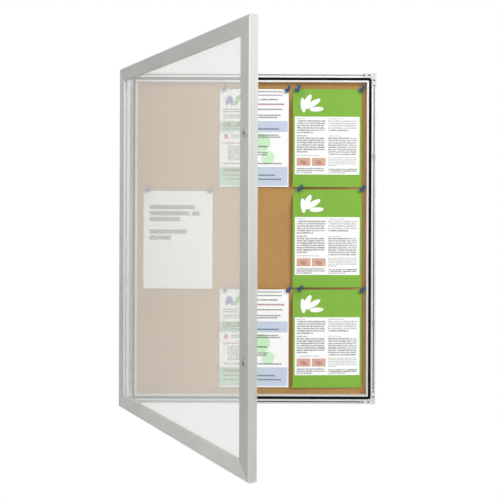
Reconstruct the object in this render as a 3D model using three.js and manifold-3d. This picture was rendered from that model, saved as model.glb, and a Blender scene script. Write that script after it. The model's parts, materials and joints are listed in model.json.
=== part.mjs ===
// A lockable wall notice board: a shallow case of mitred hollow sections with a cork back, and
// a glazed door on a knuckle hinge down its left side, held shut by two cam locks.
// Millimetres. X runs to the right, the front faces -Y and Z is up. The origin is the middle
// of the back, which lies against the wall. The door stands open, as it does in use.

import * as THREE from "three";
import { mergeVertices } from "three/addons/utils/BufferGeometryUtils.js";
import Module from "manifold-3d";

const wasm = await Module();
wasm.setup();

// Paper that the board is made for
const paperWidth = 210;
const paperHeight = 297;
const paperThickness = 0.4;
const columns = 3;
const rows = 3;
const spareWidth = 64;
const spareHeight = 53;
const columnPitch = paperWidth + spareWidth / columns;
const rowPitch = paperHeight + spareHeight / rows;

// Clearances
const fit = 0.3;
const running = 0.4;
const mitreGap = 0.3;
const cutOverrun = 2;

// Case section, from its outer edge inwards and from its front backwards
const border = 28;
const wall = 1.8;
const edgeRounding = 1;
const recessDepth = 18;
const rearStep = 16;
const corkThickness = 7;
const panelThickness = 3;
const caseDepth = recessDepth + corkThickness + panelThickness;
const grooveCentre = 6.5;
const grooveWidth = 3.2;
const cavityWidth = 7.8;
const cavityDepth = 4.2;
const channelStart = 14;
const channelWidth = 8.5;
const channelDepth = 3.6;
const caseWidth = columns * paperWidth + spareWidth + 2 * border;
const caseHeight = rows * paperHeight + spareHeight + 2 * border;
const corkFront = -(caseDepth - recessDepth);

// Rubber seal between case and door
const seatGap = 3;
const sealInnerRadius = 0.3;
const sealShoulderShare = 0.2;
const sealRiseShare = 0.7;

// Corner pieces on the case's front, and the corner keys inside the sections
const cornerArm = 43;
const cornerWidth = 12;
const cornerThickness = 1;
const cornerHoleRadius = 1.6;
const cornerHoleShares = [0.5, 0.88];
const cornerPegShares = [0.6, 0.78];
const cornerPegDepth = 3.6;
const cornerGap = 2;
const keyArm = 40;

// Knuckle hinge
const barrelRadius = 3;
const hingePinRadius = 1.5;
const leafThickness = 1.2;
const barrelStandOff = 1;
const leafSealClearance = 0.7;
const knucklePitch = 35;
const hingePinHead = 1.2;
const hingeLength = caseHeight - 2 * (cornerArm + cornerGap);
const axisOut = barrelRadius + barrelStandOff;
const axisX = -(caseWidth / 2 + axisOut);
const axisY = -(caseDepth + barrelRadius);
const leafWidth = axisOut + channelStart - leafSealClearance;

// Door, locks and keepers
const doorOpenDegrees = 59.1;
const doorOverhang = 5.5;
const doorThickness = 22;
const doorWall = 1.8;
const doorRounding = 3.2;
const lipRounding = 1.2;
const flangeReach = 10;
const glazingFront = 3;
const glazingSlot = 8;
const rearFlangeReach = 7.5;
const glassThickness = 4;
const glassBite = 7;
const gasketWall = 1.4;
const lockHeightShare = 0.25;
const lockBodyRadius = 5.5;
const lockFlangeRadius = 9.3;
const lockFlangeThickness = 1.6;
const lockFlangeChamfer = 0.7;
const lockNutWall = 1.6;
const lockNutThickness = 3;
const nutClearance = 1.1;
const plugRadius = 3.7;
const plugRecess = 0.3;
const plugNeckRadius = 2.5;
const plugHeadRadius = 3.5;
const plugHeadThickness = 1.5;
const keywayWidth = 2.2;
const keywayHeight = 6.2;
const keywayDepth = 5;
const keywayTurnDegrees = 45;
const camThickness = 2;
const camWidth = 7;
const camHubRadius = 5.2;
const camTipBevel = 1.2;
const camOverlap = 1.1;
const camClearance = 0.6;
const keeperThickness = 2.2;
const keeperFootThickness = 2.4;
const keeperPost = 5.5;
const keeperBar = 3;
const keeperBevel = 1;
const keeperClearance = 0.4;
const slotClearance = 1.5;
const lockInset = doorOverhang + grooveCentre + keeperThickness / 2 + keeperClearance + lockBodyRadius;
const boxWidth = lockInset + lockBodyRadius + lockNutWall + nutClearance + doorWall;
const doorFace = boxWidth + flangeReach;
const doorWidth = caseWidth + 2 * doorOverhang;
const doorHeight = caseHeight + 2 * doorOverhang;
const doorFront = -(caseDepth + seatGap + doorThickness);
const rebateDepth = 2 * barrelRadius + fit - seatGap;
const doorEdgePastAxis = doorOverhang - axisOut;
const rebateWidth = leafWidth + leafSealClearance + doorEdgePastAxis;

// Push pins
const pinFlangeRadius = 6;
const pinHeight = 20;
const pinNeedleRadius = 0.6;
const pinLeanDegrees = 50;
const pinTurnDegrees = 34;
// Outline from the flange's underside up: share of the flange's radius, then share of the height
const pinOutlineShares = [
  [0.92, 0], [1, 0.03], [1, 0.08], [0.82, 0.14], [0.46, 0.22], [0.37, 0.34], [0.4, 0.56],
  [0.5, 0.76], [0.68, 0.86], [0.7, 0.94], [0.6, 0.99],
];

// Sheets: the place of each one's middle as shares of the column and row pitch, and its two pins
// as shares of the sheet from its top left corner
const sheets = [
  { name: "notice", kind: "paper", placeShares: [-0.971, -0.02],
    pinShares: [[0.043, 0.014], [0.942, 0.018]] },
  { name: "leaflet_top", kind: "paper", placeShares: [0.026, 0.966],
    pinShares: [[0.037, 0.027], [0.957, 0.034]] },
  { name: "leaflet_low", kind: "paper", placeShares: [0.034, -0.968],
    pinShares: [[0.063, 0.024], [0.969, 0.031]] },
  { name: "poster_top", kind: "poster", placeShares: [0.986, 0.966],
    pinShares: [[0.043, 0.026], [0.972, 0.026]] },
  { name: "poster_mid", kind: "poster", placeShares: [0.991, -0.002],
    pinShares: [[0.076, 0.018], [0.977, 0.02]] },
  { name: "poster_low", kind: "poster", placeShares: [0.995, -0.968],
    pinShares: [[0.078, 0.02], [0.977, 0.032]] },
];

const finish = (color, roughness, metalness) =>
  new THREE.MeshStandardMaterial({ color, roughness, metalness });
const materials = {
  aluminium: finish(0xc6c7c3, 0.42, 0.85),
  steel: finish(0xb9bcbe, 0.35, 0.95),
  chrome: finish(0xd4d6d8, 0.2, 1),
  zinc: finish(0x9a9da0, 0.5, 0.8),
  plastic: finish(0xc9cac7, 0.55, 0),
  rubber: finish(0x141414, 0.8, 0),
  gasket: finish(0xa3a4a1, 0.75, 0),
  cork: finish(0xb78e59, 0.95, 0),
  panel: finish(0xb4b7b8, 0.5, 0.7),
  paper: finish(0xf4f4f1, 0.85, 0),
  poster: finish(0x85b743, 0.6, 0),
  pin: finish(0x2f6ea6, 0.35, 0),
  glass: finish(0xe4e8e6, 0.08, 0),
};

const group = new THREE.Group();

function piece(parent, name, geometry, material) {
  const mesh = new THREE.Mesh(geometry, material);
  mesh.name = name;
  parent.add(mesh);
  return mesh;
}

// Booleans
function toSolid(geometry) {
  const bare = geometry.clone();
  bare.deleteAttribute("normal");
  bare.deleteAttribute("uv");
  const merged = mergeVertices(bare);
  const vertProperties = Float32Array.from(merged.attributes.position.array);
  const triVerts = Uint32Array.from(merged.index.array);
  return new wasm.Manifold(new wasm.Mesh({ numProp: 3, vertProperties, triVerts }));
}

function toGeometry(solid) {
  const mesh = solid.getMesh();
  const geometry = new THREE.BufferGeometry();
  geometry.setAttribute("position", new THREE.BufferAttribute(mesh.vertProperties, 3));
  geometry.setIndex(new THREE.BufferAttribute(mesh.triVerts, 1));
  geometry.computeVertexNormals();
  return geometry;
}

const cut = (geometry, tools) =>
  toGeometry(tools.map(toSolid).reduce((left, tool) => left.subtract(tool), toSolid(geometry)));
const join = (geometries) => toGeometry(geometries.map(toSolid).reduce((whole, next) => whole.add(next)));

// Shapes
function outline(points, target = new THREE.Shape()) {
  target.moveTo(...points[0]);
  for (const point of points.slice(1)) target.lineTo(...point);
  target.closePath();
  return target;
}

const rectangle = (left, low, right, high) => [[left, low], [right, low], [right, high], [left, high]];
const circle = (x, y, radius) => new THREE.Path().absarc(x, y, radius, 0, 2 * Math.PI, true);
const extrude = (shape, depth, curveSegments = 12) =>
  new THREE.ExtrudeGeometry(shape, { depth, bevelEnabled: false, curveSegments });

function block(low, high) {
  const size = high.map((value, axis) => value - low[axis]);
  const geometry = new THREE.BoxGeometry(...size);
  return geometry.translate(...low.map((value, axis) => value + size[axis] / 2));
}

// A plate whose outline lies in X and Z, from its front face backwards
function plate(shape, front, thickness, curveSegments) {
  return extrude(shape, thickness, curveSegments).rotateX(Math.PI / 2).translate(0, front + thickness, 0);
}

// A section run between two 45 degree mitres. Its outer edge is at Z = 0 and its front at Y = 0;
// the section's first coordinate runs inwards and its second backwards.
function mitredRail(section, outerLength) {
  const geometry = extrude(section, 1, 5);
  const position = geometry.attributes.position;
  const halfLength = outerLength / 2 - mitreGap * Math.SQRT1_2;
  for (let i = 0; i < position.count; i += 1) {
    const inwards = position.getX(i);
    const end = position.getZ(i) > 0 ? 1 : -1;
    position.setXYZ(i, end * (halfLength - inwards), position.getY(i), -inwards);
  }
  geometry.computeVertexNormals();
  return geometry;
}

function placeRail(parent, name, geometry, side, width, height, front) {
  const places = {
    top: [0, height / 2, 0],
    bottom: [0, -height / 2, Math.PI],
    left: [-width / 2, 0, -Math.PI / 2],
    right: [width / 2, 0, Math.PI / 2],
  };
  const [x, z, turn] = places[side];
  const rail = piece(parent, name, geometry, materials.aluminium);
  rail.position.set(x, front, z);
  rail.rotation.y = turn;
  return rail;
}

// Stations round a rectangle, each with the direction that leads outwards from it
function ringStations(halfWidth, halfHeight, radius, stepsPerCorner) {
  const stations = [];
  const corners = [[1, 1], [-1, 1], [-1, -1], [1, -1]];
  corners.forEach(([sideX, sideZ], corner) => {
    if (radius === 0) {
      stations.push([sideX * halfWidth, sideZ * halfHeight, sideX, sideZ]);
      return;
    }
    for (let step = 0; step <= stepsPerCorner; step += 1) {
      const angle = (corner + step / stepsPerCorner) * Math.PI / 2;
      const outX = Math.cos(angle);
      const outZ = Math.sin(angle);
      const x = sideX * (halfWidth - radius) + radius * outX;
      const z = sideZ * (halfHeight - radius) + radius * outZ;
      stations.push([x, z, outX, outZ]);
    }
  });
  return stations;
}

// A closed ring; its section lists distances inwards and backwards, front side first
function ring(section, stations) {
  const positions = [];
  for (const [x, z, outX, outZ] of stations) {
    for (const [inwards, back] of section) positions.push(x - inwards * outX, back, z - inwards * outZ);
  }
  const indices = [];
  const around = section.length;
  stations.forEach((_, station) => {
    const next = (station + 1) % stations.length;
    for (let i = 0; i < around; i += 1) {
      const j = (i + 1) % around;
      const [near, nearAfter] = [station * around + i, station * around + j];
      const [far, farAfter] = [next * around + i, next * around + j];
      indices.push(near, far, nearAfter, nearAfter, far, farAfter);
    }
  });
  const geometry = new THREE.BufferGeometry();
  geometry.setAttribute("position", new THREE.Float32BufferAttribute(positions, 3));
  geometry.setIndex(indices);
  geometry.computeVertexNormals();
  return geometry;
}

// A turned piece, from the radius and the distance along its axis at each point
const lathe = (points, segments) =>
  new THREE.LatheGeometry(points.map(([radius, along]) => new THREE.Vector2(radius, along)), segments);

// An L whose two arms run left and down from its outer corner at the origin
function angleOutline(arm, from, to) {
  return outline([[-from, -from], [-arm, -from], [-arm, -to], [-to, -to], [-to, -arm], [-from, -arm]]);
}

function atCorners(parent, label, geometry, material, width, height, front) {
  const corners = [
    ["top_right", 1, 1, 0], ["top_left", -1, 1, -1],
    ["bottom_left", -1, -1, 2], ["bottom_right", 1, -1, 1],
  ];
  for (const [corner, sideX, sideZ, quarterTurns] of corners) {
    const mesh = piece(parent, `${label}_${corner}`, geometry, material);
    mesh.position.set(sideX * width / 2, front, sideZ * height / 2);
    mesh.rotation.y = quarterTurns * Math.PI / 2;
  }
}

// Case
function caseSection() {
  const grooveNear = grooveCentre - grooveWidth / 2;
  const grooveFar = grooveCentre + grooveWidth / 2;
  const cavityNear = grooveCentre - cavityWidth / 2;
  const cavityFar = grooveCentre + cavityWidth / 2;
  const cavityFloor = wall + cavityDepth;
  const channelFar = channelStart + channelWidth;
  const shape = new THREE.Shape();
  shape.moveTo(0, edgeRounding);
  shape.absarc(edgeRounding, edgeRounding, edgeRounding, Math.PI, 1.5 * Math.PI, false);
  shape.lineTo(grooveNear, 0);
  shape.lineTo(grooveNear, wall);
  shape.lineTo(cavityNear, wall);
  shape.lineTo(cavityNear, cavityFloor);
  shape.lineTo(cavityFar, cavityFloor);
  shape.lineTo(cavityFar, wall);
  shape.lineTo(grooveFar, wall);
  shape.lineTo(grooveFar, 0);
  shape.lineTo(channelStart, 0);
  shape.lineTo(channelStart, channelDepth);
  shape.lineTo(channelFar, channelDepth);
  shape.lineTo(channelFar, 0);
  shape.lineTo(border - edgeRounding, 0);
  shape.absarc(border - edgeRounding, edgeRounding, edgeRounding, 1.5 * Math.PI, 2 * Math.PI, false);
  shape.lineTo(border, recessDepth);
  shape.lineTo(rearStep, recessDepth);
  shape.lineTo(rearStep, caseDepth);
  shape.lineTo(0, caseDepth);
  shape.closePath();
  const outerChamber = rectangle(wall, cavityFloor + wall, rearStep - wall, caseDepth - wall);
  const innerChamber = rectangle(rearStep, channelDepth + wall, border - wall, recessDepth - wall);
  shape.holes.push(outline(outerChamber, new THREE.Path()), outline(innerChamber, new THREE.Path()));
  return shape;
}

function addCaseFrame(parent) {
  const across = mitredRail(caseSection(), caseWidth);
  const upright = mitredRail(caseSection(), caseHeight);
  placeRail(parent, "case_top", across, "top", caseWidth, caseHeight, -caseDepth);
  placeRail(parent, "case_bottom", across, "bottom", caseWidth, caseHeight, -caseDepth);
  placeRail(parent, "case_left", upright, "left", caseWidth, caseHeight, -caseDepth);
  placeRail(parent, "case_right", upright, "right", caseWidth, caseHeight, -caseDepth);

  const keyFront = wall + cavityDepth + wall + fit;
  const keyDepth = caseDepth - wall - fit - keyFront;
  const key = plate(angleOutline(keyArm, wall + fit, rearStep - wall - fit), keyFront, keyDepth);
  atCorners(parent, "case_corner_key", key, materials.zinc, caseWidth, caseHeight, -caseDepth);
}

function addCornerPieces(parent) {
  const shape = angleOutline(cornerArm, 0, cornerWidth);
  const pegWidth = grooveWidth - 2 * fit;
  for (const share of cornerHoleShares) {
    shape.holes.push(circle(-share * cornerArm, -grooveCentre, cornerHoleRadius));
    shape.holes.push(circle(-grooveCentre, -share * cornerArm, cornerHoleRadius));
  }
  const [pegStart, pegEnd] = cornerPegShares.map((share) => -share * cornerArm);
  const near = -grooveCentre - pegWidth / 2;
  const far = -grooveCentre + pegWidth / 2;
  const across = block([pegEnd, -fit, near], [pegStart, cornerPegDepth, far]);
  const down = block([near, -fit, pegEnd], [far, cornerPegDepth, pegStart]);
  const corner = join([plate(shape, -cornerThickness, cornerThickness, 6), across, down]);
  atCorners(parent, "corner_piece", corner, materials.plastic, caseWidth, caseHeight, -caseDepth);
}

function addBack(parent) {
  const halfWidth = caseWidth / 2 - rearStep - fit;
  const halfHeight = caseHeight / 2 - rearStep - fit;
  const corkBack = corkFront + corkThickness;
  const cork = block([-halfWidth, corkFront, -halfHeight], [halfWidth, corkBack, halfHeight]);
  const panel = block([-halfWidth, -panelThickness, -halfHeight], [halfWidth, 0, halfHeight]);
  piece(parent, "cork_board", cork, materials.cork);
  piece(parent, "back_panel", panel, materials.panel);
}

function addSeal(parent) {
  const width = channelWidth - 2 * fit;
  const base = channelDepth - fit;
  const shoulder = width * sealShoulderShare;
  const tip = -(seatGap - fit);
  const section = [
    [0, 0], [shoulder, tip * sealRiseShare], [width / 2, tip],
    [width - shoulder, tip * sealRiseShare], [width, 0], [width, base], [0, base],
  ];
  const inset = channelStart + fit;
  const stations = ringStations(caseWidth / 2 - inset, caseHeight / 2 - inset, width + sealInnerRadius, 4);
  const seal = piece(parent, "case_seal", ring(section, stations), materials.rubber);
  seal.position.y = -caseDepth;
}

// Sheets and push pins
function pinGeometry() {
  const lean = THREE.MathUtils.degToRad(pinLeanDegrees);
  const lift = (pinFlangeRadius * Math.sin(lean) + fit) / Math.cos(lean);
  const needle = lift - (fit + pinNeedleRadius * Math.sin(lean)) / Math.cos(lean);
  const points = [[0, -needle], [pinNeedleRadius, -needle], [pinNeedleRadius, 0]];
  for (const [radiusShare, heightShare] of pinOutlineShares) {
    points.push([radiusShare * pinFlangeRadius, heightShare * pinHeight]);
  }
  points.push([0, pinHeight]);
  return lathe(points, 12).translate(0, lift, 0);
}

function addSheets(parent) {
  const pin = pinGeometry();
  const sheetFront = corkFront - paperThickness;
  for (const { name, kind, placeShares, pinShares } of sheets) {
    const [x, z] = [placeShares[0] * columnPitch, placeShares[1] * rowPitch];
    const paper = new THREE.BoxGeometry(paperWidth, paperThickness, paperHeight);
    const sheet = piece(parent, `${name}_sheet`, paper, materials[kind]);
    sheet.position.set(x, corkFront - paperThickness / 2, z);
    pinShares.forEach(([acrossShare, downShare], index) => {
      const place = new THREE.Group();
      const left = x - paperWidth / 2;
      const top = z + paperHeight / 2;
      place.position.set(left + acrossShare * paperWidth, sheetFront, top - downShare * paperHeight);
      place.rotation.y = THREE.MathUtils.degToRad(pinTurnDegrees);
      parent.add(place);
      const side = index === 0 ? "left" : "right";
      const mesh = piece(place, `push_pin_${name}_${side}`, pin, materials.pin);
      mesh.rotation.x = Math.PI - THREE.MathUtils.degToRad(pinLeanDegrees);
    });
  }
}

// Hinge. The two leaves are alike: turned over end for end, the knuckles of one fill the gaps of
// the other. The section is drawn from the pin's axis, X towards the leaf's free edge and Y away
// from the other leaf.
function leafGeometry() {
  const pairs = Math.max(2, Math.round(hingeLength / (2 * knucklePitch)));
  const pitch = hingeLength / (2 * pairs);
  const inner = barrelRadius - leafThickness;
  const plateStart = barrelRadius + running;
  const knuckle = new THREE.Shape();
  knuckle.moveTo(plateStart + leafThickness, barrelRadius);
  knuckle.lineTo(0, barrelRadius);
  knuckle.absarc(0, 0, barrelRadius, Math.PI / 2, 2 * Math.PI + Math.asin(inner / barrelRadius), false);
  knuckle.lineTo(plateStart + leafThickness, inner);
  knuckle.closePath();
  knuckle.holes.push(circle(0, 0, hingePinRadius + fit));
  const parts = [block([plateStart, inner, -hingeLength / 2], [leafWidth, barrelRadius, hingeLength / 2])];
  for (let pair = 0; pair < pairs; pair += 1) {
    const low = -hingeLength / 2 + 2 * pair * pitch + (pair === 0 ? 0 : fit / 2);
    const high = -hingeLength / 2 + (2 * pair + 1) * pitch - fit / 2;
    parts.push(extrude(knuckle, high - low, 8).translate(0, 0, low));
  }
  return join(parts);
}

function addCaseLeaf(parent) {
  const leaf = piece(parent, "hinge_case_leaf", leafGeometry(), materials.steel);
  leaf.position.set(axisX, axisY, 0);
  const end = hingeLength / 2 + fit;
  const points = [
    [0, -end - hingePinHead], [barrelRadius, -end - hingePinHead], [barrelRadius, -end],
    [hingePinRadius, -end], [hingePinRadius, end], [0, end],
  ];
  const pin = piece(parent, "hinge_pin", lathe(points, 20).rotateX(Math.PI / 2), materials.steel);
  pin.position.set(axisX, axisY, 0);
}

function addDoorLeaf(parent) {
  const leaf = piece(parent, "hinge_door_leaf", leafGeometry(), materials.steel);
  leaf.position.set(axisX, axisY, 0);
  leaf.rotation.x = Math.PI;
}

// Locks. Depths are measured from the door's outer face.
const headEnd = doorThickness - doorWall - running;
const headStart = headEnd - plugHeadThickness;
const camRear = headStart - fit;
const camFront = camRear - camThickness;
const bodyEnd = camFront - camClearance;
const lockHeights = [["upper", lockHeightShare * caseHeight], ["lower", -lockHeightShare * caseHeight]];
const keeperLow = -(camWidth / 2 + camClearance + keeperPost);
const keeperHigh = camWidth / 2 + camClearance + keeperBar;

function lockBodyGeometry() {
  const bore = plugRadius + fit;
  const face = -(fit + lockFlangeThickness);
  return lathe([
    [bore, face], [lockFlangeRadius - lockFlangeChamfer, face],
    [lockFlangeRadius, face + lockFlangeChamfer], [lockFlangeRadius, -fit],
    [lockBodyRadius, -fit], [lockBodyRadius, bodyEnd], [bore, bodyEnd], [bore, face],
  ], 32);
}

function lockNutGeometry() {
  const bore = lockBodyRadius + fit;
  const outer = lockBodyRadius + lockNutWall;
  const front = doorWall + fit;
  const rear = front + lockNutThickness;
  return lathe([[bore, front], [outer, front], [outer, rear], [bore, rear], [bore, front]], 24);
}

function lockPlugGeometry() {
  const face = -(lockFlangeThickness + fit - plugRecess);
  const shoulder = camFront - fit;
  const plug = lathe([
    [0, face], [plugRadius, face], [plugRadius, shoulder], [plugNeckRadius, shoulder],
    [plugNeckRadius, headStart], [plugHeadRadius, headStart],
    [plugHeadRadius, headEnd], [0, headEnd],
  ], 24);
  const keyway = block(
    [-keywayWidth / 2, face - cutOverrun, -keywayHeight / 2],
    [keywayWidth / 2, face + keywayDepth, keywayHeight / 2]);
  keyway.rotateY(THREE.MathUtils.degToRad(keywayTurnDegrees));
  return cut(plug, [keyway]);
}

function camGeometry() {
  const reach = lockInset - doorOverhang - grooveCentre + keeperThickness / 2 + camOverlap;
  const half = camWidth / 2;
  const turn = Math.acos(half / camHubRadius);
  const shape = new THREE.Shape();
  shape.moveTo(half, camHubRadius * Math.sin(turn));
  shape.lineTo(half, reach - camTipBevel);
  shape.lineTo(half - camTipBevel, reach);
  shape.lineTo(-half + camTipBevel, reach);
  shape.lineTo(-half, reach - camTipBevel);
  shape.absarc(0, 0, camHubRadius, Math.PI - turn, 2 * Math.PI + turn, false);
  shape.holes.push(circle(0, 0, plugNeckRadius + fit));
  return plate(shape, camFront, camThickness, 8);
}

function addLocks(parent) {
  const parts = [
    ["body", lockBodyGeometry(), materials.chrome],
    ["nut", lockNutGeometry(), materials.steel],
    ["plug", lockPlugGeometry(), materials.chrome],
    ["cam", camGeometry(), materials.steel],
  ];
  for (const [level, height] of lockHeights) {
    const place = new THREE.Group();
    place.position.set(doorWidth / 2 - lockInset, doorFront, height);
    parent.add(place);
    for (const [part, geometry, material] of parts) {
      piece(place, `lock_${part}_${level}`, geometry, material);
    }
  }
}

// A hook of plate that stands in the case's groove and reaches into the door; its mouth opens
// upwards, and the cam turns down into it
function addKeepers(parent) {
  const mouthLow = seatGap + doorThickness - camRear - camClearance;
  const mouthHigh = seatGap + doorThickness - camFront + camClearance;
  const tip = mouthHigh + keeperBar;
  const mouthFloor = keeperLow + keeperPost;
  const footFront = -(wall + fit);
  const root = footFront - fit;
  const points = [
    [root, keeperLow], [tip - keeperBevel, keeperLow], [tip, keeperLow + keeperBevel],
    [tip, keeperHigh - keeperBevel], [tip - keeperBevel, keeperHigh], [mouthHigh, keeperHigh],
    [mouthHigh, mouthFloor], [mouthLow, mouthFloor], [mouthLow, keeperHigh], [root, keeperHigh],
  ];
  const sideways = new THREE.Matrix4().makeBasis(
    new THREE.Vector3(0, 1, 0), new THREE.Vector3(0, 0, 1), new THREE.Vector3(1, 0, 0));
  const hook = extrude(outline(points.map(([forwards, up]) => [-forwards, up])), keeperThickness);
  hook.applyMatrix4(sideways).translate(-keeperThickness / 2, 0, 0);
  const footHalf = cavityWidth / 2 - fit;
  const footBack = keeperFootThickness - footFront;
  const foot = block([-footHalf, -footFront, keeperLow], [footHalf, footBack, keeperHigh]);
  const keeper = join([hook, foot]);
  for (const [level, height] of lockHeights) {
    const mesh = piece(parent, `keeper_${level}`, keeper, materials.steel);
    mesh.position.set(caseWidth / 2 - grooveCentre, -caseDepth, height);
  }
}

// Door
function doorSection(rearWall) {
  const rearFlange = boxWidth + rearFlangeReach;
  const slotEnd = glazingFront + glazingSlot;
  const shape = new THREE.Shape();
  shape.moveTo(0, doorRounding);
  shape.absarc(doorRounding, doorRounding, doorRounding, Math.PI, 1.5 * Math.PI, false);
  shape.lineTo(doorFace - lipRounding, 0);
  shape.absarc(doorFace - lipRounding, lipRounding, lipRounding, 1.5 * Math.PI, 2 * Math.PI, false);
  shape.lineTo(doorFace, glazingFront);
  shape.lineTo(boxWidth, glazingFront);
  shape.lineTo(boxWidth, slotEnd);
  shape.lineTo(rearFlange, slotEnd);
  shape.lineTo(rearFlange, slotEnd + doorWall);
  shape.lineTo(boxWidth, slotEnd + doorWall);
  shape.lineTo(boxWidth, doorThickness);
  shape.lineTo(0, doorThickness);
  shape.closePath();
  const stepAt = Math.min(rebateWidth + doorWall, boxWidth - 2 * doorWall);
  const chamber = [
    [doorWall, doorWall], [boxWidth - doorWall, doorWall],
    [boxWidth - doorWall, doorThickness - doorWall], [stepAt, doorThickness - doorWall],
    [stepAt, doorThickness - rearWall], [doorWall, doorThickness - rearWall],
  ];
  const plain = rectangle(doorWall, doorWall, boxWidth - doorWall, doorThickness - doorWall);
  shape.holes.push(outline(rearWall > doorWall ? chamber : plain, new THREE.Path()));
  return shape;
}

function hingeStile() {
  const halfLength = hingeLength / 2 + fit + hingePinHead + fit;
  const rebate = block(
    [-halfLength, doorThickness - rebateDepth, -rebateWidth],
    [halfLength, doorThickness + cutOverrun, cutOverrun]);
  return cut(mitredRail(doorSection(rebateDepth + doorWall), doorHeight), [rebate]);
}

function lockStile() {
  const tools = [];
  const keeperInset = doorOverhang + grooveCentre;
  const halfSlot = keeperThickness / 2 + slotClearance;
  for (const [, height] of lockHeights) {
    // The right-hand rail is turned, so its length runs downwards
    const along = -height;
    const bore = lathe([
      [0, -cutOverrun], [lockBodyRadius + fit, -cutOverrun],
      [lockBodyRadius + fit, doorWall + cutOverrun], [0, doorWall + cutOverrun],
    ], 32);
    tools.push(bore.translate(along, 0, -lockInset));
    tools.push(block(
      [along - keeperHigh - slotClearance, doorThickness - doorWall - cutOverrun, -keeperInset - halfSlot],
      [along - keeperLow + slotClearance, doorThickness + cutOverrun, -keeperInset + halfSlot]));
  }
  return cut(mitredRail(doorSection(doorWall), doorHeight), tools);
}

function addDoorFrame(parent) {
  const across = mitredRail(doorSection(doorWall), doorWidth);
  placeRail(parent, "door_top", across, "top", doorWidth, doorHeight, doorFront);
  placeRail(parent, "door_bottom", across, "bottom", doorWidth, doorHeight, doorFront);
  placeRail(parent, "door_hinge_stile", hingeStile(), "left", doorWidth, doorHeight, doorFront);
  placeRail(parent, "door_lock_stile", lockStile(), "right", doorWidth, doorHeight, doorFront);

  const keyFront = doorWall + fit;
  const keyDepth = doorThickness - rebateDepth - doorWall - fit - keyFront;
  const key = plate(angleOutline(keyArm, doorWall + fit, boxWidth - doorWall - fit), keyFront, keyDepth);
  atCorners(parent, "door_corner_key", key, materials.zinc, doorWidth, doorHeight, doorFront);
}

function addGlazing(parent) {
  const halfWidth = doorWidth / 2;
  const halfHeight = doorHeight / 2;
  const glassEdge = doorFace - glassBite;
  const glassFront = glazingFront + (glazingSlot - glassThickness) / 2;
  const pane = block(
    [-halfWidth + glassEdge, glassFront, -halfHeight + glassEdge],
    [halfWidth - glassEdge, glassFront + glassThickness, halfHeight - glassEdge]);
  piece(parent, "glass_pane", pane, materials.glass).position.y = doorFront;

  const base = boxWidth + fit;
  const lipFront = glazingFront + fit;
  const lipRear = glazingFront + glazingSlot - fit;
  const webEnd = base + gasketWall;
  const frontReach = doorFace - fit;
  const rearReach = boxWidth + rearFlangeReach - fit;
  const section = [
    [base, lipFront], [frontReach, lipFront],
    [frontReach, lipFront + gasketWall], [webEnd, lipFront + gasketWall],
    [webEnd, lipRear - gasketWall], [rearReach, lipRear - gasketWall],
    [rearReach, lipRear], [base, lipRear],
  ];
  const gasket = ring(section, ringStations(halfWidth, halfHeight, 0, 0));
  piece(parent, "glazing_gasket", gasket, materials.gasket).position.y = doorFront;
}

// Assembly
const board = new THREE.Group();
group.add(board);
addCaseFrame(board);
addCornerPieces(board);
addBack(board);
addSeal(board);
addKeepers(board);
addCaseLeaf(board);
addSheets(board);

// The door turns about the hinge pin; its pieces are placed as if it were shut
const doorTurn = new THREE.Group();
doorTurn.position.set(axisX, axisY, 0);
doorTurn.rotation.z = -THREE.MathUtils.degToRad(doorOpenDegrees);
group.add(doorTurn);
const door = new THREE.Group();
door.position.set(-axisX, -axisY, 0);
doorTurn.add(door);
addDoorFrame(door);
addGlazing(door);
addDoorLeaf(door);
addLocks(door);

export default group;
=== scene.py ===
"""Looks of the lockable notice board: finishes, printed sheets, push pins, screws, light and camera."""

import json
import math

import bpy
from mathutils import Matrix, Vector


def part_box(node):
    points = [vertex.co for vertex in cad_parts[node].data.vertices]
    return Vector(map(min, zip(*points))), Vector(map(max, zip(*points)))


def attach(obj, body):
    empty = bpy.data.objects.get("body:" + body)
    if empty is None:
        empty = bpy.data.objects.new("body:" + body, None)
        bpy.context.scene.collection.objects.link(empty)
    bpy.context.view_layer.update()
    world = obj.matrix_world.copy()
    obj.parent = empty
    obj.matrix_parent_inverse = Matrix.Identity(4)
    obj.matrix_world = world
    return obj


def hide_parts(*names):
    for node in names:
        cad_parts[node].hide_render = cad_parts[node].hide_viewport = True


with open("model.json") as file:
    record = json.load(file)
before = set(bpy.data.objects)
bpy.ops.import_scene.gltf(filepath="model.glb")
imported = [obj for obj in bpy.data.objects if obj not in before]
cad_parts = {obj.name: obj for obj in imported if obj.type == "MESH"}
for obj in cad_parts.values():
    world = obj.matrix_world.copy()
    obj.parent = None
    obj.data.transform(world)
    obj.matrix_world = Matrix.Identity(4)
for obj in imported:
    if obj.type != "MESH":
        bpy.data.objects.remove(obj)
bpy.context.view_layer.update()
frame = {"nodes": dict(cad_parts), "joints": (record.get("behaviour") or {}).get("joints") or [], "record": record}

MM = 0.001
NODES = frame["nodes"]
SLOT_OF = {row["node"]: row["material_slot"] for row in frame["record"]["subparts"]}
JOINTS = {joint["name"]: joint for joint in frame["joints"]}
HINGE = JOINTS["door_hinge"]
HINGE_PLACE = Vector(HINGE["pos_m"])
OPEN_ANGLE = -math.radians(HINGE["range_deg"][0])
DOOR_OPENED = (
    Matrix.Translation(HINGE_PLACE)
    @ Matrix.Rotation(OPEN_ANGLE, 4, Vector(HINGE["axis"]))
    @ Matrix.Translation(-HINGE_PLACE)
)

# Turns that point a piece made along +Z out of the wall, or into it
FORWARDS = Matrix.Rotation(math.pi / 2, 4, "X")
BACKWARDS = Matrix.Rotation(-math.pi / 2, 4, "X")

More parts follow.
